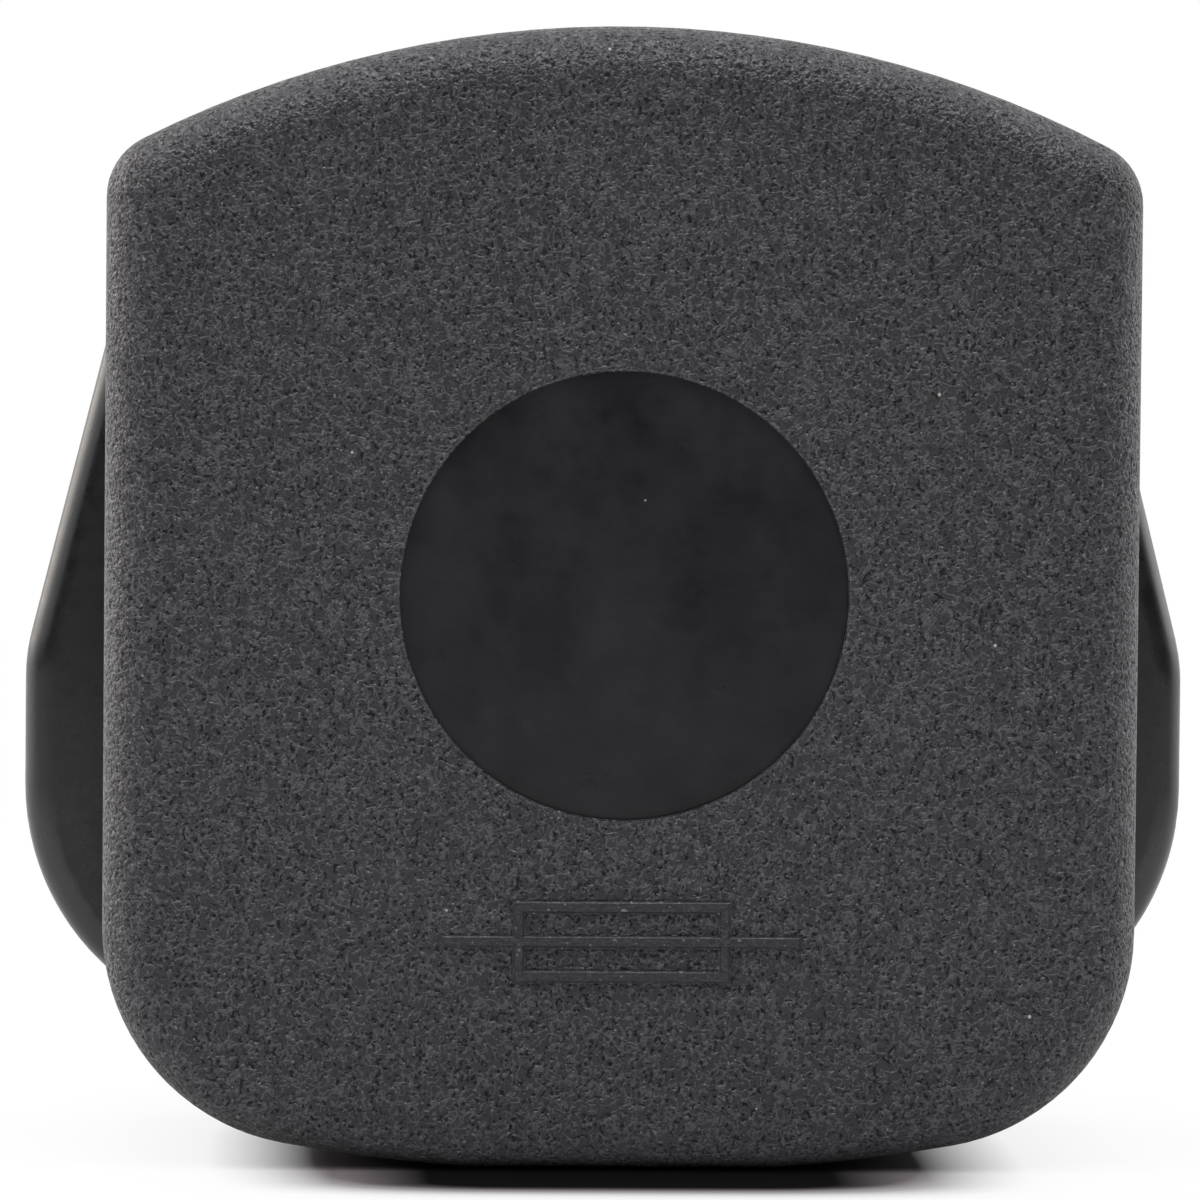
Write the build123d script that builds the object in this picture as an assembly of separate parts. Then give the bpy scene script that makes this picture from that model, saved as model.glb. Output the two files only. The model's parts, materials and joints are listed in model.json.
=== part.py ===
from build123d import *
import os
from math import cos, radians, sin, sqrt, tan

# A rewirable 13 A three-pin plug with a one-piece rubber cover over a moulded base.
# Millimetres. The origin lies on the pin face, midway between the live and neutral pins.
# +Z points up to the earth pin, the pins point along +Y and the cover is on the -Y side.
# Seen from the cover side, +X and the live pin are on the right.
# Outlines are drawn in that front view (x, z). A "depth" is the distance from the pin face
# toward the cover, so what stands out on the socket side has a negative depth.

# Pins
line_pin_spacing = 22.2
line_pin_width = 6.35
line_pin_thickness = 4.0
line_pin_length = 17.7
earth_pin_height = 22.2
earth_pin_width = 4.0
earth_pin_thickness = 8.0
earth_pin_length = 22.7
pin_tip_chamfer = 0.9
sleeve_length = 9.2
sleeve_wall = 0.4

# Base: a flange with a wing at each side and a narrower tab inside the cover's top
base_width = 50.0
wing_corner_radius = 10.7
wing_side_height = 5.6
wing_taper_angle = 14.1
wing_bend_radius = 8.0
wing_shoulder_height = 21.0
flange_thickness = 4.5
flange_edge_radius = 1.3
tab_corner_radius = 1.5
tab_edge_bevel = 0.5
rim_height = 2.0
rim_wall = 1.3

# Cover
cover_width = 42.6
cover_crown_rise = 6.1
cover_depth = 22.5
cover_foot_drop = 14.5
cover_rim_depth = 0.8
cover_arch_radius = 43.6
cover_belly_radius = 80.0
cover_foot_width = 13.0
cover_shoulder_radius = 2.7
cover_lower_corner_radius = 9.05
cover_edge_radius = 2.2
cover_rim_bevel = 0.4
cover_wall = 2.2
cover_back_wall = 2.2
cover_lip_width = 32.0
cover_fit = 0.25
rim_fit = 0.3

# Smooth sunk disc in the cover's face, and the raised fuse symbol below it
disc_diameter = 18.4
disc_height = 9.2
disc_sink = 0.3
symbol_height = -5.0
symbol_box_width = 9.0
symbol_box_height = 3.4
symbol_width = 14.8
symbol_line = 0.55
symbol_rise = 0.2

# Cord entry in the cover's foot
entry_diameter = 9.5
entry_depth = 11.6
entry_chamfer = 0.5

# Cover screw, its retaining washer and the threaded insert
screw_height = 7.0
screw_head_diameter = 7.6
screw_head_thickness = 2.0
screw_head_sink = 0.4
screw_slot_width = 1.2
screw_slot_depth = 1.1
screw_diameter = 3.9
screw_end_depth = 13.5
screw_clearance = 0.2
retainer_diameter = 6.8
retainer_thickness = 0.6
base_boss_diameter = 10.0
base_boss_depth = 8.0
cover_boss_diameter = 10.0
insert_flange_diameter = 8.0
insert_flange_thickness = 1.0
insert_diameter = 6.0
insert_length = 7.0
thread_clearance = 0.05

# Terminal blocks of the earth pin, the neutral pin and the live terminal
block_depth = 13.0
earth_block_width = 7.0
earth_block_length = 8.4
neutral_block_width = 7.0
neutral_block_length = 7.2
live_block_width = 5.6
live_block_length = 6.0
live_block_x = 7.3
live_block_height = 13.6
block_edge = 0.4
wire_hole_diameter = 3.2
wire_hole_depth = 7.4
terminal_screw_diameter = 3.4
terminal_screw_length = 4.0
terminal_head_diameter = 5.0
terminal_head_thickness = 1.8
terminal_slot_width = 0.9
terminal_slot_depth = 0.9

# Cartridge fuse and its clips
fuse_x = 13.8
fuse_bottom = -2.6
fuse_length = 25.4
fuse_diameter = 6.3
fuse_cap_length = 5.5
fuse_cap_wall = 0.35
barrel_bore = 3.6
element_diameter = 0.4
clip_width = 4.6
clip_sheet = 0.5
clip_grip_clearance = 0.1
clip_leg_height = 1.9
clip_mouth_height = 1.7
clip_lip_length = 1.3
clip_lip_angle = 35.0
strip_thickness = 1.2
live_head_thickness = 2.0
live_head_length = 7.2
rivet_diameter = 1.9
rivet_head_diameter = 3.4
rivet_head_thickness = 0.5
rivet_fuse_clearance = 0.2
part_clearance = 0.05

# Cord grip across the cord's way, on two posts
grip_height = -7.2
grip_screw_spacing = 16.0
grip_post_diameter = 5.2
grip_post_depth = 10.2
grip_length = 21.2
grip_width = 5.4
grip_thickness = 2.0
grip_arch = 1.5
grip_arch_width = 8.4
grip_ramp = 1.3
grip_screw_diameter = 2.8
grip_screw_length = 6.0
grip_head_diameter = 5.0
grip_head_thickness = 1.7
grip_slot_width = 0.8
grip_slot_depth = 0.8
grip_head_bevel = 0.7
bite_rib_width = 0.8
bite_rib_spacing = 2.6
bite_rib_rise = 1.4

# Walls moulded inside the base
wall_thickness = 0.9
wall_depth = 11.5
wall_gap = 0.5
saddle_width = 1.2
saddle_spacing = 6.0
saddle_overhang = 0.5

# Heights and places that follow from the sizes above
cover_foot = -cover_foot_drop
cover_top = earth_pin_height + earth_block_length / 2 + cover_crown_rise
cover_height = cover_top - cover_foot
lip_top = -wing_corner_radius - cover_fit
tab_half_width = cover_width / 2 - cover_wall - cover_fit
clip_floor_depth = flange_thickness + live_head_thickness
strip_depth = clip_floor_depth - strip_thickness
fuse_depth = (
    clip_floor_depth + clip_sheet + rivet_head_thickness + rivet_fuse_clearance + fuse_diameter / 2
)
fuse_top = fuse_bottom + fuse_length
clip_heights = [fuse_bottom + fuse_cap_length / 2, fuse_top - fuse_cap_length / 2]
fuse_middle = fuse_bottom + fuse_length / 2
barrel_diameter = fuse_diameter - 2 * fuse_cap_wall - 2 * part_clearance
neutral_x = -line_pin_spacing / 2
live_x = line_pin_spacing / 2
far_outside = 2 * base_width


def slab(outline, near, far):
    """A solid with an outline drawn in the front view, from one depth to another."""
    return extrude(Plane.XZ.offset(near) * outline, amount=far - near)


def rod(x, z, diameter, near, far):
    return slab(Pos(x, z) * Circle(diameter / 2), near, far)


def block(x, z, width, height, near, far):
    return slab(Pos(x, z) * Rectangle(width, height), near, far)


def upright(outline, bottom, top):
    """A solid with an outline drawn from above (x, depth), from one height to another."""
    return extrude(Plane.XY.offset(bottom) * mirror(outline, Plane.XZ), amount=top - bottom)


def upright_rod(x, depth, diameter, bottom, top):
    return upright(Pos(x, depth) * Circle(diameter / 2), bottom, top)


def slotted(head, x, z, width, near, far):
    """Cuts a screwdriver slot along x across a screw head."""
    return head - block(x, z, far_outside, width, near, far)


def face_edges(solid, depth):
    """The edges that lie in one plane parallel to the pin face."""
    return solid.edges().filter_by_position(Axis.Y, -depth - 0.001, -depth + 0.001)


# Outlines in the front view


def cover_outline():
    """Arched top, straight sides, large lower corners and a shallow belly with a flat foot."""
    foot_sag = cover_belly_radius - sqrt(cover_belly_radius**2 - (cover_foot_width / 2) ** 2)
    outline = Pos(0, (cover_top + cover_foot) / 2) * Rectangle(cover_width, cover_height)
    outline &= Pos(0, cover_top - cover_arch_radius) * Circle(cover_arch_radius)
    outline &= Pos(0, cover_foot - foot_sag + cover_belly_radius) * Circle(cover_belly_radius)
    corners = [v for v in outline.vertices() if abs(v.X) > cover_width / 2 - 0.01]
    outline = fillet([v for v in corners if v.Y > 0], cover_shoulder_radius)
    corners = [v for v in outline.vertices() if abs(v.X) > cover_width / 2 - 0.01 and v.Y < 0]
    lowest = min(v.Y for v in corners)
    return fillet([v for v in corners if v.Y < lowest + 0.01], cover_lower_corner_radius)


def cavity_outline(extra=0.0):
    """The inside of the cover's walls, with a thick foot. Extra draws it further in."""
    inside = offset(cover_outline(), -cover_wall - extra)
    above_foot = Pos(0, lip_top + extra + far_outside / 2) * Rectangle(far_outside, far_outside)
    return inside & above_foot


def wings_outline():
    """Round about the line pins, straight for a little at the sides, then tapering upward."""
    half = base_width / 2
    arc_x = half - wing_corner_radius
    taper = (wing_shoulder_height - wing_side_height) * tan(radians(wing_taper_angle))
    right_side = [
        (arc_x, -wing_corner_radius),
        (half, 0),
        (half, wing_side_height),
        (half - taper, wing_shoulder_height),
    ]
    left_side = [(-x, z) for x, z in reversed(right_side)]
    wings = make_face(Polyline(*right_side, *left_side, close=True))
    for x in (-arc_x, arc_x):
        wings += Pos(x, 0) * Circle(wing_corner_radius)
    bends = [v for v in wings.vertices() if abs(v.Y - wing_side_height) < 0.01]
    return fillet(bends, wing_bend_radius)


def tab_outline():
    """The upper part of the flange, which fits inside the cover's arched top."""
    tab_arch = cover_arch_radius - cover_wall - cover_fit
    tab = Pos(0, cover_top / 2) * Rectangle(2 * tab_half_width, cover_top)
    tab &= Pos(0, cover_top - cover_arch_radius) * Circle(tab_arch)
    return fillet([v for v in tab.vertices() if v.Y > 1], tab_corner_radius)


# The cover


def fuse_symbol():
    """A box with a line through it, the usual drawing sign for a fuse."""
    box = Rectangle(symbol_box_width, symbol_box_height)
    box -= Rectangle(symbol_box_width - 2 * symbol_line, symbol_box_height - 2 * symbol_line)
    return Pos(0, symbol_height) * (box + Rectangle(symbol_width, symbol_line))


def make_cover():
    body = slab(cover_outline(), cover_rim_depth, cover_depth)
    body = fillet(face_edges(body, cover_depth), cover_edge_radius)
    body = chamfer(face_edges(body, cover_rim_depth), cover_rim_bevel)

    body -= slab(cavity_outline(), -1, cover_depth - cover_back_wall)

    # The flange lies inside the rim, and its wings come out through a gap in each side wall.
    opening = offset(wings_outline() + tab_outline(), cover_fit)
    gap_top = wing_shoulder_height + cover_fit
    gap_width = base_width - cover_lip_width
    for side in (-1, 1):
        gap = Rectangle(gap_width, far_outside, align=(Align.MIN, Align.MAX))
        gap_x = cover_lip_width / 2 if side > 0 else -cover_lip_width / 2 - gap_width
        opening += Pos(gap_x, gap_top) * gap
    body -= slab(opening, -1, flange_thickness)

    body += rod(0, screw_height, cover_boss_diameter, base_boss_depth, cover_depth - cover_back_wall)
    body -= rod(
        0,
        screw_height,
        insert_flange_diameter + 2 * part_clearance,
        base_boss_depth,
        base_boss_depth + insert_flange_thickness,
    )
    body -= rod(
        0,
        screw_height,
        insert_diameter + 2 * part_clearance,
        base_boss_depth,
        base_boss_depth + insert_length + part_clearance,
    )

    body -= upright_rod(0, entry_depth, entry_diameter, cover_foot - 1, lip_top + 1)
    entry_edges = body.edges().filter_by(GeomType.CIRCLE)
    entry_edges = [
        e
        for e in entry_edges
        if abs(e.radius - entry_diameter / 2) < 0.01 and abs(e.center().Z - cover_foot) < 0.01
    ]
    body = chamfer(entry_edges, entry_chamfer)

    body -= rod(0, disc_height, disc_diameter, cover_depth - disc_sink, cover_depth + 1)
    body += slab(fuse_symbol(), cover_depth - 0.5, cover_depth + symbol_rise)
    return body


# The base


def strip_outline():
    """The live strip: it runs under the terminal block and under the upper fuse clip."""
    clip_z = clip_heights[1]
    right = fuse_x + fuse_diameter / 2 + clip_sheet
    left = live_block_x - live_block_width / 2
    under_clip = Rectangle(right - left, clip_width + 0.4)
    outline = Pos((right + left) / 2, clip_z) * under_clip
    link_bottom = live_block_height
    link_width = live_block_width - 1.0
    link = Rectangle(link_width, clip_z - link_bottom, align=(Align.CENTER, Align.MIN))
    outline += Pos(live_block_x, link_bottom) * link
    outline += Pos(live_block_x, live_block_height) * Rectangle(live_block_width, live_block_length)
    return outline


def make_base():
    wings = slab(wings_outline(), 0, flange_thickness)
    rounded = face_edges(wings, 0) + face_edges(wings, flange_thickness)
    rounded = [e for e in rounded if e.center().Z < wing_shoulder_height - 0.01]
    tab = slab(tab_outline(), 0, flange_thickness)
    tab = chamfer(face_edges(tab, 0), tab_edge_bevel)
    body = fillet(rounded, flange_edge_radius) + tab

    # Raised rim that plugs into the cover
    rim = cavity_outline(rim_fit) - cavity_outline(rim_fit + rim_wall)
    body += slab(rim, flange_thickness / 2, flange_thickness + rim_height)

    # Boss for the cover screw, posts for the cord grip, and a pad under the live strip
    body += rod(0, screw_height, base_boss_diameter, flange_thickness, base_boss_depth)
    for side in (-1, 1):
        post_x = side * grip_screw_spacing / 2
        body += rod(post_x, grip_height, grip_post_diameter, flange_thickness, grip_post_depth)
    body += slab(strip_outline(), flange_thickness, strip_depth)

    # Ribs between the posts that bite into the cord's sheath
    rib_length = grip_screw_spacing - grip_post_diameter / 2
    for side in (-1, 1):
        rib_z = grip_height + side * bite_rib_spacing / 2
        rib_top = flange_thickness + bite_rib_rise
        body += block(0, rib_z, rib_length, bite_rib_width, flange_thickness, rib_top)

    # Saddles under the fuse's barrel
    saddle_half = barrel_diameter / 2 + saddle_overhang
    for side in (-1, 1):
        saddle_z = fuse_middle + side * saddle_spacing / 2
        saddle = block(
            fuse_x, saddle_z, 2 * saddle_half, saddle_width, flange_thickness, fuse_depth
        )
        barrel_space = barrel_diameter + 2 * part_clearance
        saddle -= upright_rod(fuse_x, fuse_depth, barrel_space, fuse_bottom, fuse_top)
        body += saddle

    # Walls that part the earth terminal from the neutral side and from the live terminal
    wall_z = earth_pin_height - earth_block_length / 2 - wall_thickness
    wall_left = neutral_x
    wall_right = live_block_x - live_block_width / 2 - wall_gap
    for start, end in ((wall_left, -earth_block_width / 4), (earth_block_width / 4, wall_right)):
        body += block(
            (start + end) / 2, wall_z, end - start, wall_thickness, flange_thickness, wall_depth
        )

    # Slots for the pins
    body -= block(0, earth_pin_height, earth_pin_width, earth_pin_thickness, -1, far_outside)
    for x in (neutral_x, live_x):
        body -= block(x, 0, line_pin_width, line_pin_thickness, -1, far_outside)

    # Holes for the cover screw, its head and its retaining washer, and for the grip screws
    head_space = screw_head_diameter + 2 * screw_clearance
    body -= rod(0, screw_height, head_space, -1, screw_head_sink + screw_head_thickness)
    body -= rod(0, screw_height, screw_diameter + 2 * screw_clearance, -1, far_outside)
    body -= rod(
        0,
        screw_height,
        retainer_diameter + 2 * screw_clearance,
        base_boss_depth - retainer_thickness,
        far_outside,
    )
    for side in (-1, 1):
        body -= rod(
            side * grip_screw_spacing / 2,
            grip_height,
            grip_screw_diameter + 2 * part_clearance,
            grip_post_depth - grip_screw_length + grip_thickness - 0.5,
            grip_post_depth + 1,
        )
    return body


# The pins and their terminal blocks


def terminal_block(x, z, width, length, near):
    """A brass block with a wire hole from below and a threaded hole from the cover side."""
    body = block(x, z, width, length, near, block_depth)
    body = chamfer(face_edges(body, block_depth), block_edge)
    body -= upright_rod(x, wire_hole_depth, wire_hole_diameter, z - length, z + length)
    screw_space = terminal_screw_diameter + 2 * thread_clearance
    body -= rod(x, z, screw_space, wire_hole_depth, block_depth + 1)
    return body


def pin_blade(x, z, width, height, length, near):
    """The part of a pin from a depth inside the base to its bevelled tip."""
    body = block(x, z, width, height, -length, near)
    return chamfer(face_edges(body, -length), pin_tip_chamfer)


def line_blade(x, near):
    """A live or neutral pin's blade, necked where the insulating sleeve sits."""
    body = pin_blade(x, 0, line_pin_width, line_pin_thickness, line_pin_length, near)
    ring = Rectangle(line_pin_width, line_pin_thickness) - sleeve_bore()
    return body - slab(Pos(x, 0) * ring, -sleeve_length, 0)


def sleeve_bore():
    return Rectangle(line_pin_width - 2 * sleeve_wall, line_pin_thickness - 2 * sleeve_wall)


def make_sleeve(x):
    section = Rectangle(line_pin_width, line_pin_thickness) - sleeve_bore()
    return slab(Pos(x, 0) * section, -sleeve_length, 0)


def make_earth_pin():
    size = earth_pin_width, earth_pin_thickness
    body = pin_blade(0, earth_pin_height, *size, earth_pin_length, flange_thickness)
    return body + terminal_block(
        0, earth_pin_height, earth_block_width, earth_block_length, flange_thickness
    )


def make_neutral_pin():
    body = line_blade(neutral_x, flange_thickness)
    return body + terminal_block(
        neutral_x, 0, neutral_block_width, neutral_block_length, flange_thickness
    )


def rivet_hole(z):
    hole = rivet_diameter + 2 * part_clearance
    return rod(fuse_x, z, hole, strip_depth, clip_floor_depth)


def make_live_pin():
    """The live pin ends in a flat head that reaches under the lower fuse clip."""
    head_left = live_x - line_pin_width / 2 - 0.6
    head_right = fuse_x + fuse_diameter / 2 + clip_sheet
    head = block(
        (head_left + head_right) / 2,
        0,
        head_right - head_left,
        live_head_length,
        flange_thickness,
        clip_floor_depth,
    )
    return line_blade(live_x, flange_thickness) + head - rivet_hole(clip_heights[0])


def make_live_terminal():
    body = slab(strip_outline(), strip_depth, clip_floor_depth)
    body += terminal_block(
        live_block_x, live_block_height, live_block_width, live_block_length, strip_depth
    )
    return body - rivet_hole(clip_heights[1])


def make_terminal_screw(x, z):
    near = block_depth - terminal_screw_length
    body = rod(x, z, terminal_screw_diameter, near, block_depth)
    head_end = block_depth + terminal_head_thickness
    body += rod(x, z, terminal_head_diameter, block_depth, head_end)
    slot_near = head_end - terminal_slot_depth
    return slotted(body, x, z, terminal_slot_width, slot_near, head_end + 1)


# The fuse and its clips


def make_fuse_barrel():
    """A ceramic tube whose ends go inside the metal caps."""
    start = fuse_bottom + fuse_cap_wall
    end = fuse_top - fuse_cap_wall
    body = upright_rod(fuse_x, fuse_depth, barrel_diameter, start, end)
    return body - upright_rod(fuse_x, fuse_depth, barrel_bore, start, end)


def make_fuse_cap(end, inward):
    """A cup, from the fuse's end toward its middle."""
    inside = fuse_diameter - 2 * fuse_cap_wall
    lip = end + inward * fuse_cap_length
    floor = end + inward * fuse_cap_wall
    body = upright_rod(fuse_x, fuse_depth, fuse_diameter, min(end, lip), max(end, lip))
    return body - upright_rod(fuse_x, fuse_depth, inside, min(floor, lip), max(floor, lip))


def make_fuse_core(diameter, bore=0.0):
    """The filler or the wire, from one cap's floor to the other's."""
    start = fuse_bottom + fuse_cap_wall
    end = fuse_top - fuse_cap_wall
    body = upright_rod(fuse_x, fuse_depth, diameter, start, end)
    if bore > 0:
        body -= upright_rod(fuse_x, fuse_depth, bore, start, end)
    return body


def make_fuse_clip(z):
    """A sheet bent to a floor, two legs, two curved cheeks and two lips turned outward."""
    inner = fuse_diameter / 2 + clip_grip_clearance
    outer = inner + clip_sheet
    leg_end = fuse_depth - clip_leg_height
    mouth = fuse_depth + clip_mouth_height
    cheeks = Pos(fuse_x, fuse_depth) * (Circle(outer) - Circle(inner))
    kept = Pos(fuse_x, (leg_end + mouth) / 2) * Rectangle(4 * outer, mouth - leg_end)
    section = cheeks & kept
    leg_inner = sqrt(inner**2 - clip_leg_height**2)
    leg_outer = sqrt(outer**2 - clip_leg_height**2)
    floor = Rectangle(2 * leg_outer, clip_sheet, align=(Align.CENTER, Align.MIN))
    section += Pos(fuse_x, clip_floor_depth) * floor
    mouth_inner = sqrt(inner**2 - clip_mouth_height**2)
    for side in (-1, 1):
        leg = Polyline(
            (fuse_x + side * leg_outer, clip_floor_depth),
            (fuse_x + side * leg_outer, leg_end),
            (fuse_x + side * leg_inner, leg_end),
            (fuse_x + side * leg_inner, clip_floor_depth),
            close=True,
        )
        section += make_face(leg)
        out = side * clip_lip_length * sin(radians(clip_lip_angle))
        rise = clip_lip_length * cos(radians(clip_lip_angle))
        foot = fuse_x + side * mouth_inner
        lip = Polyline(
            (foot, mouth - 0.05),
            (foot + out, mouth + rise),
            (foot + out + side * clip_sheet, mouth + rise),
            (foot + side * clip_sheet, mouth - 0.05),
            close=True,
        )
        section += make_face(lip)
    body = upright(section, z - clip_width / 2, z + clip_width / 2)
    hole = rivet_diameter + 2 * part_clearance
    return body - rod(fuse_x, z, hole, clip_floor_depth - 1, clip_floor_depth + 1)


def make_clip_rivet(z):
    head = clip_floor_depth + clip_sheet
    body = rod(fuse_x, z, rivet_diameter, strip_depth, head)
    return body + rod(fuse_x, z, rivet_head_diameter, head, head + rivet_head_thickness)


# The cord grip and the screws


def make_cord_grip():
    """A flat bar, arched over the cord's way, with a hole at each end."""
    half = grip_length / 2
    arch_foot = grip_arch_width / 2 + grip_ramp
    arch_half = grip_arch_width / 2
    near = grip_post_depth
    far = near + grip_thickness
    section = Polyline(
        (-half, near),
        (-arch_foot, near),
        (-arch_half, near + grip_arch),
        (arch_half, near + grip_arch),
        (arch_foot, near),
        (half, near),
        (half, far),
        (arch_foot, far),
        (arch_half, far + grip_arch),
        (-arch_half, far + grip_arch),
        (-arch_foot, far),
        (-half, far),
        close=True,
    )
    body = upright(make_face(section), grip_height - grip_width / 2, grip_height + grip_width / 2)
    ends = [e for e in body.edges().filter_by(Axis.Y) if abs(e.center().X) > half - 0.01]
    body = fillet(ends, grip_width / 2 - 0.2)
    for side in (-1, 1):
        hole = grip_screw_diameter + 2 * screw_clearance
        body -= rod(side * grip_screw_spacing / 2, grip_height, hole, near - 1, far + 1)
    return body


def make_grip_screw(x):
    seat = grip_post_depth + grip_thickness
    body = rod(x, grip_height, grip_screw_diameter, seat - grip_screw_length, seat)
    head_end = seat + grip_head_thickness
    head = rod(x, grip_height, grip_head_diameter, seat, head_end)
    body += chamfer(face_edges(head, head_end), grip_head_bevel)
    slot_near = head_end - grip_slot_depth
    return slotted(body, x, grip_height, grip_slot_width, slot_near, head_end + 1)


def make_cover_screw():
    """Its head lies sunk in the pin face and its end turns in the cover's insert."""
    seat = screw_head_sink + screw_head_thickness
    head = rod(0, screw_height, screw_head_diameter, screw_head_sink, seat)
    head = chamfer(face_edges(head, screw_head_sink), 0.3)
    body = head + rod(0, screw_height, screw_diameter, seat, screw_end_depth)
    slot_far = screw_head_sink + screw_slot_depth
    return slotted(body, 0, screw_height, screw_slot_width, screw_head_sink - 1, slot_far)


def make_screw_retainer():
    near = base_boss_depth - retainer_thickness
    ring = rod(0, screw_height, retainer_diameter, near, base_boss_depth)
    bore = screw_diameter + 2 * part_clearance
    return ring - rod(0, screw_height, bore, near - 1, base_boss_depth + 1)


def make_cover_insert():
    """A flanged brass bush; its flange lies against the base's boss."""
    flange_end = base_boss_depth + insert_flange_thickness
    body = rod(0, screw_height, insert_flange_diameter, base_boss_depth, flange_end)
    body += rod(0, screw_height, insert_diameter, flange_end, base_boss_depth + insert_length)
    bore = screw_diameter + 2 * thread_clearance
    return body - rod(0, screw_height, bore, base_boss_depth - 1, cover_depth)


terminals = [
    (0, earth_pin_height),
    (neutral_x, 0),
    (live_block_x, live_block_height),
]
grip_screw_places = [-grip_screw_spacing / 2, grip_screw_spacing / 2]

nodes = {
    "cover": make_cover(),
    "base": make_base(),
    "earth_pin": make_earth_pin(),
    "neutral_pin": make_neutral_pin(),
    "live_pin": make_live_pin(),
    "neutral_sleeve": make_sleeve(neutral_x),
    "live_sleeve": make_sleeve(live_x),
    "live_terminal": make_live_terminal(),
    "terminal_screws": Compound([make_terminal_screw(x, z).solid() for x, z in terminals]),
    "fuse_barrel": make_fuse_barrel(),
    "fuse_cap_lower": make_fuse_cap(fuse_bottom, 1),
    "fuse_cap_upper": make_fuse_cap(fuse_top, -1),
    "fuse_filler": make_fuse_core(barrel_bore - 2 * part_clearance, element_diameter + 0.1),
    "fuse_element": make_fuse_core(element_diameter),
    "fuse_clip_lower": make_fuse_clip(clip_heights[0]),
    "fuse_clip_upper": make_fuse_clip(clip_heights[1]),
    "clip_rivets": Compound([make_clip_rivet(z).solid() for z in clip_heights]),
    "cord_grip": make_cord_grip(),
    "cord_grip_screws": Compound([make_grip_screw(x).solid() for x in grip_screw_places]),
    "cover_screw": make_cover_screw(),
    "screw_retainer": make_screw_retainer(),
    "cover_insert": make_cover_insert(),
}

os.makedirs("parts", exist_ok=True)
for name, shape in nodes.items():
    export_step(shape, f"parts/{name}.step")
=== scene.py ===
import json
import math

import bmesh
import bpy
from mathutils import Matrix, Vector


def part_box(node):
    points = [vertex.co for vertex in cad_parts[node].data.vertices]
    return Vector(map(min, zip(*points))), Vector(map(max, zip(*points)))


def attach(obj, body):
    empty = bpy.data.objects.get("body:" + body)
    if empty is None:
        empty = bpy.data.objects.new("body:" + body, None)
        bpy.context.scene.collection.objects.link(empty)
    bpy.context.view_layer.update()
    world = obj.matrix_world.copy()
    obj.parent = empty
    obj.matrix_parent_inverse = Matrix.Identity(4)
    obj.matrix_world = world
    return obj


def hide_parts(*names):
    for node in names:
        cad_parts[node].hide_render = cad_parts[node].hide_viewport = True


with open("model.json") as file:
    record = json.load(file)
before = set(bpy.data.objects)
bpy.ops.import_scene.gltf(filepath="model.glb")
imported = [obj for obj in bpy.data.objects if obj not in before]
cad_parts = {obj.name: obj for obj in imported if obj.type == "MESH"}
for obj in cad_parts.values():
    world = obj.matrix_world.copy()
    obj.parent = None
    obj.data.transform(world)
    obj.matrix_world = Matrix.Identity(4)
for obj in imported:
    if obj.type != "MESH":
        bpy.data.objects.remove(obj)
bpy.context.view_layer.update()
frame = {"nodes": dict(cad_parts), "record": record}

# Looks of a rewirable three-pin plug with a grained rubber cover. Metres, in the CAD frame:
# +Z up, the pins along +Y, the cover's face toward -Y, the origin on the pin face.

nodes = frame["nodes"]
MM = 0.001

# Places that the looks share with the model
FACE_Y = -22.5 * MM
FLOOR_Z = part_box("cover")[0].z
DISC_CENTRE = Vector((0.0, -22.2 * MM, 9.2 * MM))
DISC_RADIUS = 9.2 * MM
SYMBOL_Y = -22.7 * MM

# Finished copies of the nodes: how their meshes are joined up and their edges softened
MERGE_DISTANCE = 2e-7
FLAT_ANGLE = math.radians(0.4)
SHARP_ANGLE = math.radians(28.0)
NORMAL_WEIGHT = 80
CREASE_ANGLE = 0.5
RIDGE_ROUND = 0.12 * MM
RIM_ROUND = 0.06 * MM
NODE_EDGES_MM = {
    "base": 0.12,
    "earth_pin": 0.12,
    "neutral_pin": 0.12,
    "live_pin": 0.12,
    "neutral_sleeve": 0.1,
    "live_sleeve": 0.1,
    "cover_screw": 0.08,
    "cord_grip": 0.15,
}

# Grained rubber: sizes in millimetres, and linear colours
WORM_MM = 0.36
HOLLOW_MM = 0.17
PAINTED_GLINT_MM = 0.15
BLOTCH_MM = 9.0
GRAIN_DEPTH_MM = 0.048
RUBBER_COLOURS = (0.0132, 0.0119, 0.0155), (0.0174, 0.0158, 0.0203)
# Painted highlight and shade: the grain's crests are coloured lighter and its hollows darker
CREST_HIGHLIGHT_COLOUR = (0.0445, 0.0410, 0.0505)
HOLLOW_SHADE_COLOUR = (0.005, 0.0045, 0.0057)
# Painted highlight: pale glints put into the base colour
PAINTED_GLINT_COLOUR = (0.20, 0.195, 0.20)
DUST_COLOUR = (0.50, 0.49, 0.47)
# Painted highlight: a lighter ring on the rolled rim round the disc
RIM_HIGHLIGHT_HALF_WIDTH = 0.06 * MM
RIM_HIGHLIGHT_COLOUR = (0.085, 0.082, 0.09)
# Specular tints: reflections dimmed on the ground and dimmed most in the hollows as painted
# shade, full on the crests
GROUND_SHINE = (0.62, 0.61, 0.63)
CREST_SHINE = (1.0, 0.98, 1.0)
HOLLOW_SHADED_SHINE = (0.27, 0.27, 0.28)

# Polished rubber of the disc
DISC_COLOURS = (0.0075, 0.0073, 0.0100), (0.0180, 0.0168, 0.0202)
DISC_DUST_COLOUR = (0.36, 0.35, 0.34)

# World: how bright the tent is, where white is 1
FRONT_LEVEL = 0.03
BACK_LEVEL = 1.2
TOP_GAIN = 0.05

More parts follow.
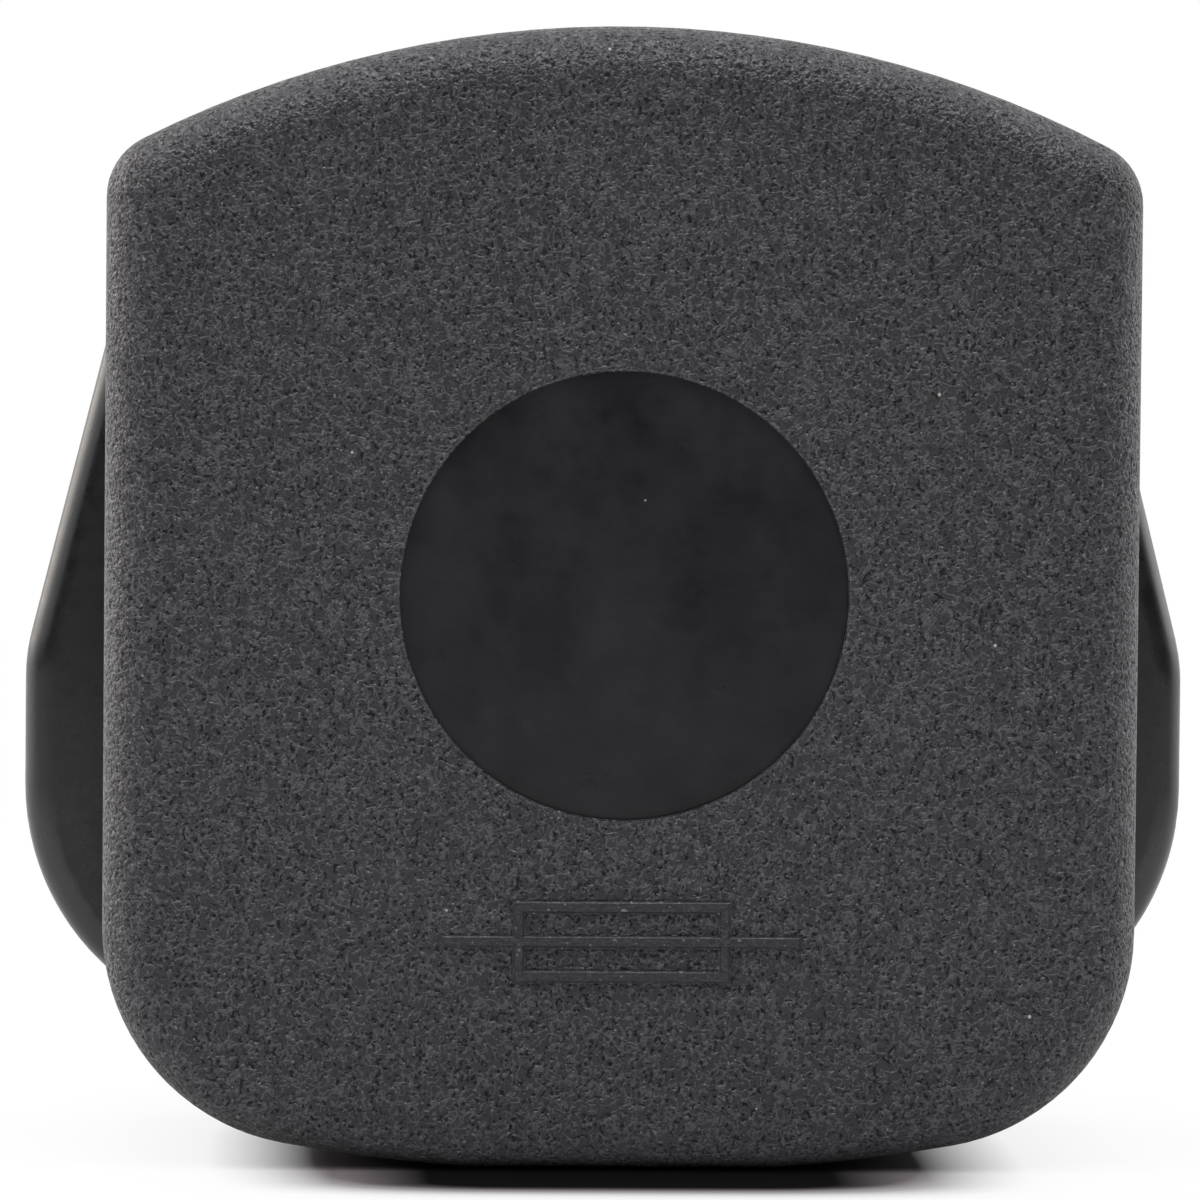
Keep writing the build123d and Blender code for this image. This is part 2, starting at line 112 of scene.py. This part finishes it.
# Lamps, all aimed at the origin: name, place, width, height, level and colour
PLAIN_LIGHT = (1.0, 1.0, 1.0)
WARM_LIGHT = (1.0, 0.92, 0.84)
LAMPS = (
    ("high_front", (0.0, -0.318, 0.318), 0.50, 0.14, 1.5, PLAIN_LIGHT),
    ("overhead", (0.0, -0.15, 0.424), 0.50, 0.20, 3.3, PLAIN_LIGHT),
    ("overhead_back", (0.0, 0.05, 0.44), 0.50, 0.14, 0.8, PLAIN_LIGHT),
    ("left_back", (-0.36, 0.20, 0.15), 0.30, 0.24, 2.5, WARM_LIGHT),
    ("left_front", (-0.38, -0.10, 0.17), 0.30, 0.24, 1.1, PLAIN_LIGHT),
    ("right_back", (0.37, 0.18, 0.15), 0.30, 0.24, 1.0, PLAIN_LIGHT),
)

# Floor: its own colours, the contact shadow painted under and in front of the foot for the
# camera, and where it turns plain white
FLOOR_REACH = 0.22
FLOOR_COLOUR = (0.95, 0.95, 0.95)
FLOOR_BOUNCE = (0.75, 0.75, 0.75)
PAINTED_SHADOW_MIDDLE = 0.4 * MM
PAINTED_SHADOW_HALF_WIDTH = (5 * MM, 18.5 * MM)
PAINTED_SHADOW_FRONT = (-31.4 * MM, -26 * MM)
PAINTED_SHADOW_BACK = (-4 * MM, 4 * MM)
# Painted shadow: a pinkish painted penumbra and a near-black painted core
PAINTED_SHADOW_EDGE_COLOUR = (0.21, 0.185, 0.19)
PAINTED_SHADOW_COLOUR = (0.0015, 0.0015, 0.0018)
WHITE_CENTRE = -15.5 * MM
WHITE_FROM = (12.5 * MM, 17 * MM, 40 * MM)
WHITE_NEAR = 0.85

# Camera: seen from the disc's centre, a little to the left and above, and turned slightly
CAMERA_AZIMUTH = -2.49
CAMERA_ELEVATION = 2.85
CAMERA_ROLL = 0.524
CAMERA_DISTANCE = 0.335
CAMERA_CLIP_START = 0.01
PHOTO_PIXELS = 1200
FRAME_WIDTH = PHOTO_PIXELS / 24.43 * MM
DISC_PIXEL = (624.5, 595.9)
SENSOR = 36.0


# Node materials


class Nodes:
    """A short way to write a material's node tree."""

    def __init__(self, name):
        self.material = bpy.data.materials.new(name)
        self.material.use_nodes = True
        self.tree = self.material.node_tree
        self.shader = self.tree.nodes["Principled BSDF"]
        self.place = self.tree.nodes.new("ShaderNodeTexCoord").outputs["Object"]

    def link(self, source, target):
        self.tree.links.new(source, target)

    def set(self, **values):
        for name, value in values.items():
            self.shader.inputs[name.replace("_", " ")].default_value = value

    def to(self, name, value):
        self.link(value, self.shader.inputs[name])

    def coordinates(self):
        parts = self.tree.nodes.new("ShaderNodeSeparateXYZ")
        self.link(self.place, parts.inputs[0])
        return parts.outputs

    def stretched(self, scale):
        node = self.tree.nodes.new("ShaderNodeMapping")
        node.inputs["Scale"].default_value = scale
        self.link(self.place, node.inputs["Vector"])
        return node.outputs["Vector"]

    def noise(self, size_mm, detail=3.0, rough=0.5, place=None, distortion=0.0):
        node = self.tree.nodes.new("ShaderNodeTexNoise")
        node.inputs["Distortion"].default_value = distortion
        node.inputs["Scale"].default_value = 1.0 / (size_mm * MM)
        node.inputs["Detail"].default_value = detail
        node.inputs["Roughness"].default_value = rough
        self.link(place or self.place, node.inputs["Vector"])
        return node.outputs["Fac"]

    def veins(self, size_mm, width, distortion=0.0):
        """1 along the middle of a net of winding lines, 0 beside them."""
        level = self.noise(size_mm, detail=1.0, distortion=distortion)
        off = self.math("ABSOLUTE", self.math("SUBTRACT", level, 0.5))
        return self.span(off, 0.0, width, 1.0, 0.0)

    def ring(self, radius, half_width):
        """1 on a circle round the disc's centre, seen along Y, and 0 beside it."""
        x, _, z = self.coordinates()
        z = self.math("SUBTRACT", z, DISC_CENTRE.z)
        squares = self.math("ADD", self.math("MULTIPLY", x, x), self.math("MULTIPLY", z, z))
        off = self.math("SUBTRACT", self.math("SQRT", squares), radius)
        return self.span(self.math("ABSOLUTE", off), 0.0, half_width, 1.0, 0.0)

    def specks(self, cell_mm, radius_mm, share):
        """1 on sparse round specks, 0 elsewhere."""
        node = self.tree.nodes.new("ShaderNodeTexVoronoi")
        node.inputs["Scale"].default_value = 1.0 / (cell_mm * MM)
        self.link(self.place, node.inputs["Vector"])
        chosen = self.tree.nodes.new("ShaderNodeSeparateColor")
        self.link(node.outputs["Color"], chosen.inputs[0])
        picked = self.math("LESS_THAN", chosen.outputs[0], share)
        reach = radius_mm / cell_mm
        near = self.span(node.outputs["Distance"], 0.8 * reach, reach, 1.0, 0.0)
        return self.math("MULTIPLY", picked, near)

    def span(self, value, low, high, to_low=0.0, to_high=1.0):
        node = self.tree.nodes.new("ShaderNodeMapRange")
        node.clamp = True
        node.inputs["From Min"].default_value = low
        node.inputs["From Max"].default_value = high
        node.inputs["To Min"].default_value = to_low
        node.inputs["To Max"].default_value = to_high
        self.link(value, node.inputs["Value"])
        return node.outputs["Result"]

    def soft_span(self, value, low, high, to_low=0.0, to_high=1.0):
        result = self.span(value, low, high, to_low, to_high)
        result.node.interpolation_type = "SMOOTHSTEP"
        return result

    def math(self, operation, a, b=0.0):
        node = self.tree.nodes.new("ShaderNodeMath")
        node.operation = operation
        for socket, value in zip(node.inputs, (a, b)):
            if isinstance(value, (int, float)):
                socket.default_value = value
            else:
                self.link(value, socket)
        return node.outputs["Value"]

    def mixed(self, factor, a, b):
        node = self.tree.nodes.new("ShaderNodeMix")
        node.data_type = "RGBA"
        self.link(factor, node.inputs["Factor"])
        for socket, value in ((node.inputs[6], a), (node.inputs[7], b)):
            if isinstance(value, tuple):
                socket.default_value = (*value, 1.0)
            else:
                self.link(value, socket)
        return node.outputs[2]

    def bump(self, height, depth_mm):
        node = self.tree.nodes.new("ShaderNodeBump")
        node.inputs["Strength"].default_value = 1.0
        node.inputs["Distance"].default_value = depth_mm * MM
        self.link(height, node.inputs["Height"])
        return node.outputs["Normal"]


def rubber(name, relief=1.0, rim=False):
    """Charcoal rubber with the worm-like grain of a spark-eroded mould, its crests painted
    lighter and its hollows darker as painted highlight and shade, with painted glints, and with
    rim a painted highlight ring round the disc.
    """
    m = Nodes(name)
    m.set(Specular_IOR_Level=1.0, IOR=1.55, Sheen_Weight=0.03, Sheen_Roughness=0.35)
    worms = m.veins(WORM_MM, width=0.10, distortion=0.6)
    dots = m.noise(HOLLOW_MM, detail=1.0)
    painted_glints = m.span(m.noise(PAINTED_GLINT_MM, detail=0.0), 0.74, 0.84)
    crest = m.span(worms, 0.25, 0.9, 0.0, relief)
    hollow = m.span(dots, 0.31, 0.42, relief, 0.0)

    colour = m.mixed(m.span(m.noise(BLOTCH_MM), 0.3, 0.7), *RUBBER_COLOURS)
    # Painted highlight on the crests and painted shade in the hollows
    colour = m.mixed(crest, colour, CREST_HIGHLIGHT_COLOUR)
    colour = m.mixed(hollow, colour, HOLLOW_SHADE_COLOUR)
    # Painted highlight: sparse bright glints in the base colour
    colour = m.mixed(painted_glints, colour, PAINTED_GLINT_COLOUR)
    colour = m.mixed(m.specks(cell_mm=0.8, radius_mm=0.08, share=0.02), colour, DUST_COLOUR)
    # Painted highlight: a lighter ring on the rim round the disc
    if rim:
        highlight_ring = m.ring(DISC_RADIUS + RIM_HIGHLIGHT_HALF_WIDTH, RIM_HIGHLIGHT_HALF_WIDTH)
        colour = m.mixed(m.math("MULTIPLY", highlight_ring, 0.65), colour, RIM_HIGHLIGHT_COLOUR)
    m.to("Base Color", colour)

    # Painted shade in reflections: specular tint dimmed in the hollows, full on the crests
    shine = m.mixed(crest, GROUND_SHINE, CREST_SHINE)
    m.to("Specular Tint", m.mixed(hollow, shine, HOLLOW_SHADED_SHINE))
    rough = m.span(worms, 0.2, 0.8, 0.47, 0.36)
    m.to("Roughness", m.math("ADD", rough, m.span(hollow, 0.0, 1.0, 0.0, 0.25)))
    height = m.math("ADD", m.math("MULTIPLY", worms, 0.45), m.span(dots, 0.3, 0.6))
    m.to("Normal", m.bump(height, GRAIN_DEPTH_MM * relief))
    return m.material


def smooth_rubber(name):
    """The polished part of the same mould: faint flow marks and smudges."""
    m = Nodes(name)
    m.set(Specular_IOR_Level=0.40)
    smudge = m.noise(3.4, 4.0, 0.6, m.stretched((1.0, 1.0, 0.6)))
    colour = m.mixed(m.span(smudge, 0.36, 0.66), *DISC_COLOURS)
    dust = m.specks(cell_mm=0.8, radius_mm=0.055, share=0.05)
    m.to("Base Color", m.mixed(dust, colour, DISC_DUST_COLOUR))
    m.to("Roughness", m.span(m.noise(2.0, 5.0, 0.65), 0.3, 0.7, 0.26, 0.46))
    m.to("Normal", m.bump(m.noise(1.4, 4.0, 0.6), 0.02))
    return m.material


def gloss_plastic(name, dark, light):
    """Smooth moulded plastic with handling marks."""
    m = Nodes(name)
    m.set(Specular_IOR_Level=0.75)
    m.to("Base Color", m.mixed(m.span(m.noise(5.0, 4.0), 0.35, 0.65), dark, light))
    scuffs = m.noise(1.2, 5.0, 0.7, m.stretched((1.0, 0.35, 1.0)))
    m.to("Roughness", m.span(scuffs, 0.3, 0.7, 0.22, 0.36))
    m.to("Normal", m.bump(m.noise(0.9), 0.006))
    return m.material


def drawn_metal(name, dark, light, rough, stretch):
    """Metal with fine lines along the way it was drawn or rolled, and a little tarnish."""
    m = Nodes(name)
    m.set(Metallic=1.0)
    lines = m.noise(0.12, 3.0, 0.5, m.stretched(stretch))
    tarnish = m.noise(2.6, 5.0, 0.65)
    m.to("Base Color", m.mixed(m.span(tarnish, 0.36, 0.68), light, dark))
    worn = m.math("ADD", m.math("MULTIPLY", lines, 0.6), m.math("MULTIPLY", tarnish, 0.4))
    m.to("Roughness", m.span(worn, 0.35, 0.65, *rough))
    m.to("Normal", m.bump(lines, 0.0025))
    return m.material


def dull(name, dark, light, size_mm, rough):
    """Ceramic, sand or pressed fibre: a speckled matte solid."""
    m = Nodes(name)
    grain = m.noise(size_mm, 4.0, 0.65)
    m.to("Base Color", m.mixed(m.span(grain, 0.35, 0.65), dark, light))
    m.to("Roughness", m.span(grain, 0.3, 0.7, rough - 0.08, rough + 0.08))
    m.to("Normal", m.bump(grain, 0.02))
    return m.material


looks = {
    "cover": rubber("grained_rubber", rim=True),
    "disc": smooth_rubber("polished_rubber"),
    "ridge": rubber("ridge_rubber", relief=0.25),
    "base": gloss_plastic("base_plastic", (0.0068, 0.0063, 0.0075), (0.0112, 0.0103, 0.0123)),
    "sleeve": gloss_plastic("sleeve_plastic", (0.008, 0.008, 0.0085), (0.013, 0.013, 0.0135)),
    "brass": drawn_metal(
        "drawn_brass", (0.56, 0.38, 0.16), (0.76, 0.56, 0.27), (0.22, 0.38), (1, 0.03, 1)
    ),
    "terminal_screw": drawn_metal(
        "turned_brass", (0.52, 0.36, 0.16), (0.76, 0.56, 0.28), (0.25, 0.4), (1, 1, 1)
    ),
    "spring": drawn_metal(
        "spring_bronze", (0.44, 0.25, 0.11), (0.68, 0.45, 0.24), (0.25, 0.42), (1, 1, 0.08)
    ),
    "screw": drawn_metal(
        "zinc_plate", (0.42, 0.41, 0.38), (0.64, 0.63, 0.61), (0.25, 0.45), (1, 1, 1)
    ),
    "plated": drawn_metal(
        "nickel_plate", (0.50, 0.49, 0.47), (0.72, 0.71, 0.69), (0.16, 0.3), (1, 1, 0.2)
    ),
    "ceramic": dull("fired_ceramic", (0.70, 0.68, 0.62), (0.82, 0.80, 0.75), 0.4, 0.6),
    "filler": dull("packed_sand", (0.42, 0.37, 0.28), (0.68, 0.62, 0.50), 0.15, 0.9),
    "grip": dull("pressed_fibre", (0.13, 0.045, 0.022), (0.22, 0.08, 0.04), 0.3, 0.55),
    "washer": dull("fibre_washer", (0.15, 0.04, 0.025), (0.24, 0.07, 0.04), 0.25, 0.6),
}


# Pieces


def finished_copy(node, slot, edge_mm, soften=None):
    """A piece that stands for a CAD node: its surface joined up, with softened edges."""
    mesh = bpy.data.meshes.new(node + "_finished")
    work = bmesh.new()
    work.from_mesh(nodes[node].data)
    bmesh.ops.remove_doubles(work, verts=work.verts, dist=MERGE_DISTANCE)
    bmesh.ops.dissolve_degenerate(work, edges=work.edges, dist=MERGE_DISTANCE)
    bmesh.ops.dissolve_limit(work, angle_limit=FLAT_ANGLE, verts=work.verts, edges=work.edges)
    if soften:
        soften(work)
    for face in work.faces:
        face.smooth = True
    for edge in work.edges:
        edge.smooth = edge.calc_face_angle(0.0) < SHARP_ANGLE
    work.to_mesh(mesh)
    work.free()
    piece = bpy.data.objects.new(node + "_finished", mesh)
    bpy.context.scene.collection.objects.link(piece)
    if edge_mm > 0:
        bevel = piece.modifiers.new("edges", "BEVEL")
        bevel.width = edge_mm * MM
        bevel.segments = 2
        bevel.limit_method = "ANGLE"
        bevel.angle_limit = SHARP_ANGLE
    weights = piece.modifiers.new("normals", "WEIGHTED_NORMAL")
    weights.mode = "FACE_AREA"
    weights.weight = NORMAL_WEIGHT
    weights.keep_sharp = edge_mm <= 0
    piece.data.materials.append(looks[slot])
    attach(piece, "root")
    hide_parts(node)
    return piece


def from_disc(point):
    return math.hypot(point.x - DISC_CENTRE.x, point.z - DISC_CENTRE.z)


def on_symbol(vertex):
    return abs(vertex.co.y - SYMBOL_Y) < 0.01 * MM


def on_rim(vertex):
    at_face = abs(vertex.co.y - FACE_Y) < 0.01 * MM
    return at_face and abs(from_disc(vertex.co) - DISC_RADIUS) < 0.05 * MM


def soften_cover(work):
    """Round ridges on the fuse symbol, and a slightly rolled rim round the disc."""
    for chosen, offset, segments in ((on_symbol, RIDGE_ROUND, 3), (on_rim, RIM_ROUND, 2)):
        creases = [
            e for e in work.edges
            if all(chosen(v) for v in e.verts) and e.calc_face_angle(0.0) > CREASE_ANGLE
        ]
        bmesh.ops.bevel(
            work, geom=creases, offset=offset, segments=segments, affect="EDGES",
            clamp_overlap=True,
        )


def in_disc(point):
    at_floor = abs(point.y - DISC_CENTRE.y) < 0.02 * MM
    return at_floor and from_disc(point) < DISC_RADIUS + 0.01 * MM


cover = finished_copy("cover", "cover", 0.0, soften_cover)
cover.data.materials.append(looks["disc"])
cover.data.materials.append(looks["ridge"])
corners = cover.data.vertices
for face in cover.data.polygons:
    if all(in_disc(corners[i].co) for i in face.vertices):
        face.material_index = 1
    elif face.center.y < FACE_Y - 0.01 * MM:
        face.material_index = 2

slots = {s["node"]: s["material_slot"] for s in frame["record"]["subparts"]}
for node, edge_mm in NODE_EDGES_MM.items():
    finished_copy(node, slots[node], edge_mm)

for node, slot in slots.items():
    if node != "cover" and node not in NODE_EDGES_MM:
        data = nodes[node].data
        data.materials.clear()
        data.materials.append(looks[slot])


# World and lamps


def make_world():
    """A pale tent: white behind and above, darker toward the camera."""
    world = bpy.data.worlds.new("tent")
    bpy.context.scene.world = world
    world.use_nodes = True
    tree = world.node_tree
    tree.nodes.clear()
    add = tree.nodes.new
    direction = add("ShaderNodeTexCoord").outputs["Generated"]
    parts = add("ShaderNodeSeparateXYZ")
    tree.links.new(direction, parts.inputs[0])

    def ramp(value, low, high, to_low, to_high):
        node = add("ShaderNodeMapRange")
        node.interpolation_type = "SMOOTHSTEP"
        for name, number in (
            ("From Min", low), ("From Max", high), ("To Min", to_low), ("To Max", to_high)
        ):
            node.inputs[name].default_value = number
        tree.links.new(value, node.inputs["Value"])
        return node.outputs["Result"]

    def joined(operation, first, second):
        node = add("ShaderNodeMath")
        node.operation = operation
        tree.links.new(first, node.inputs[0])
        tree.links.new(second, node.inputs[1])
        return node.outputs[0]

    def background():
        node = add("ShaderNodeBackground")
        node.inputs["Color"].default_value = (1.0, 1.0, 1.0, 1.0)
        return node

    behind = ramp(parts.outputs["Y"], -0.35, 0.35, FRONT_LEVEL, BACK_LEVEL)
    above = ramp(parts.outputs["Z"], 0.3, 0.75, 0.0, TOP_GAIN)
    tent = background()
    tree.links.new(joined("ADD", behind, above), tent.inputs["Strength"])

    rays = add("ShaderNodeLightPath").outputs
    mirrored = joined("MAXIMUM", rays["Is Glossy Ray"], rays["Is Transmission Ray"])
    mirrored = joined("MULTIPLY", mirrored, ramp(parts.outputs["Y"], -0.1, 0.5, 0.0, 1.0))
    mix = add("ShaderNodeMixShader")
    tree.links.new(joined("MAXIMUM", rays["Is Camera Ray"], mirrored), mix.inputs[0])
    tree.links.new(tent.outputs[0], mix.inputs[1])
    tree.links.new(background().outputs[0], mix.inputs[2])
    tree.links.new(mix.outputs[0], add("ShaderNodeOutputWorld").inputs["Surface"])


def softbox(name, place, width, height, level, colour):
    """An area lamp aimed at the origin, whose surface is level times as bright as white."""
    lamp = bpy.data.lights.new(name, "AREA")
    lamp.shape = "RECTANGLE"
    lamp.size = width
    lamp.size_y = height
    lamp.energy = level * math.pi * width * height
    lamp.color = colour
    box = bpy.data.objects.new(name, lamp)
    bpy.context.scene.collection.objects.link(box)
    box.location = place
    box.rotation_euler = (-Vector(place)).to_track_quat("-Z", "Y").to_euler()


make_world()
for lamp in LAMPS:
    softbox(*lamp)


# Floor


def floor_material():
    """White paper. A contact shadow is painted under and in front of the foot, for the camera
    only. It keeps the rendered shadow near the plug and turns into plain white further off.
    """
    m = Nodes("pale_floor")
    m.set(Roughness=0.8, Specular_IOR_Level=0.1)
    x, y, _ = m.coordinates()
    seen = m.tree.nodes.new("ShaderNodeLightPath").outputs["Is Camera Ray"]

    # Painted shadow: dark under and just in front of the foot, fading sideways and forward,
    # with a pinkish painted penumbra; camera rays only
    sideways = m.math("ABSOLUTE", m.math("SUBTRACT", x, PAINTED_SHADOW_MIDDLE))
    painted_shadow = m.soft_span(sideways, *PAINTED_SHADOW_HALF_WIDTH, 1.0, 0.0)
    painted_shadow = m.math("MULTIPLY", painted_shadow, m.soft_span(y, *PAINTED_SHADOW_FRONT))
    painted_shadow = m.math("MULTIPLY", painted_shadow, m.soft_span(y, *PAINTED_SHADOW_BACK, 1.0, 0.0))
    painted_shadow = m.math("MULTIPLY", painted_shadow, seen)
    painted_penumbra = m.mixed(m.span(painted_shadow, 0.0, 0.45), FLOOR_COLOUR, PAINTED_SHADOW_EDGE_COLOUR)
    shown = m.mixed(m.span(painted_shadow, 0.5, 0.85), painted_penumbra, PAINTED_SHADOW_COLOUR)
    m.to("Base Color", m.mixed(seen, FLOOR_BOUNCE, shown))

    # The white grows outward from the foot along a square with round corners
    across = m.math("POWER", m.math("ABSOLUTE", x), 4.0)
    along = m.math("POWER", m.math("ABSOLUTE", m.math("SUBTRACT", y, WHITE_CENTRE)), 4.0)
    away = m.math("POWER", m.math("ADD", across, along), 0.25)
    near, middle, far = WHITE_FROM
    near_white = m.span(away, near, middle, 0.0, WHITE_NEAR)
    far_white = m.span(away, middle, far, 0.0, 1.0 - WHITE_NEAR)
    white = m.math("MULTIPLY", seen, m.math("ADD", near_white, far_white))
    glow = m.tree.nodes.new("ShaderNodeEmission")
    blend = m.tree.nodes.new("ShaderNodeMixShader")
    m.link(white, blend.inputs[0])
    m.link(m.shader.outputs[0], blend.inputs[1])
    m.link(glow.outputs[0], blend.inputs[2])
    m.link(blend.outputs[0], m.tree.nodes["Material Output"].inputs["Surface"])
    return m.material


def make_floor():
    mesh = bpy.data.meshes.new("floor")
    half = FLOOR_REACH
    corners = [(-half, -half), (half, -half), (half, half), (-half, half)]
    mesh.from_pydata([(x, y, FLOOR_Z) for x, y in corners], [], [(0, 1, 2, 3)])
    floor = bpy.data.objects.new("floor", mesh)
    bpy.context.scene.collection.objects.link(floor)
    floor.data.materials.append(floor_material())


make_floor()


# Camera


def make_camera():
    azimuth = math.radians(CAMERA_AZIMUTH)
    elevation = math.radians(CAMERA_ELEVATION)
    roll = Matrix.Rotation(math.radians(CAMERA_ROLL), 4, "Z")
    back = Vector((
        math.sin(azimuth) * math.cos(elevation),
        -math.cos(azimuth) * math.cos(elevation),
        math.sin(elevation),
    ))
    facing = (-back).to_track_quat("-Z", "Y").to_matrix().to_4x4() @ roll
    across, upward = facing.col[0].xyz, facing.col[1].xyz
    pixel = FRAME_WIDTH / PHOTO_PIXELS
    middle = PHOTO_PIXELS / 2
    aim = DISC_CENTRE + across * (middle - DISC_PIXEL[0]) * pixel
    aim -= upward * (middle - DISC_PIXEL[1]) * pixel
    eye = DISC_CENTRE + back * CAMERA_DISTANCE

    lens = bpy.data.cameras.new("camera")
    lens.sensor_width = SENSOR
    lens.lens = SENSOR * CAMERA_DISTANCE / FRAME_WIDTH
    lens.clip_start = CAMERA_CLIP_START
    camera = bpy.data.objects.new("camera", lens)
    bpy.context.scene.collection.objects.link(camera)
    look = (aim - eye).to_track_quat("-Z", "Y").to_matrix().to_4x4()
    camera.matrix_world = Matrix.Translation(eye) @ look @ roll
    bpy.context.scene.camera = camera


make_camera()
bpy.context.scene.view_settings.view_transform = "Standard"
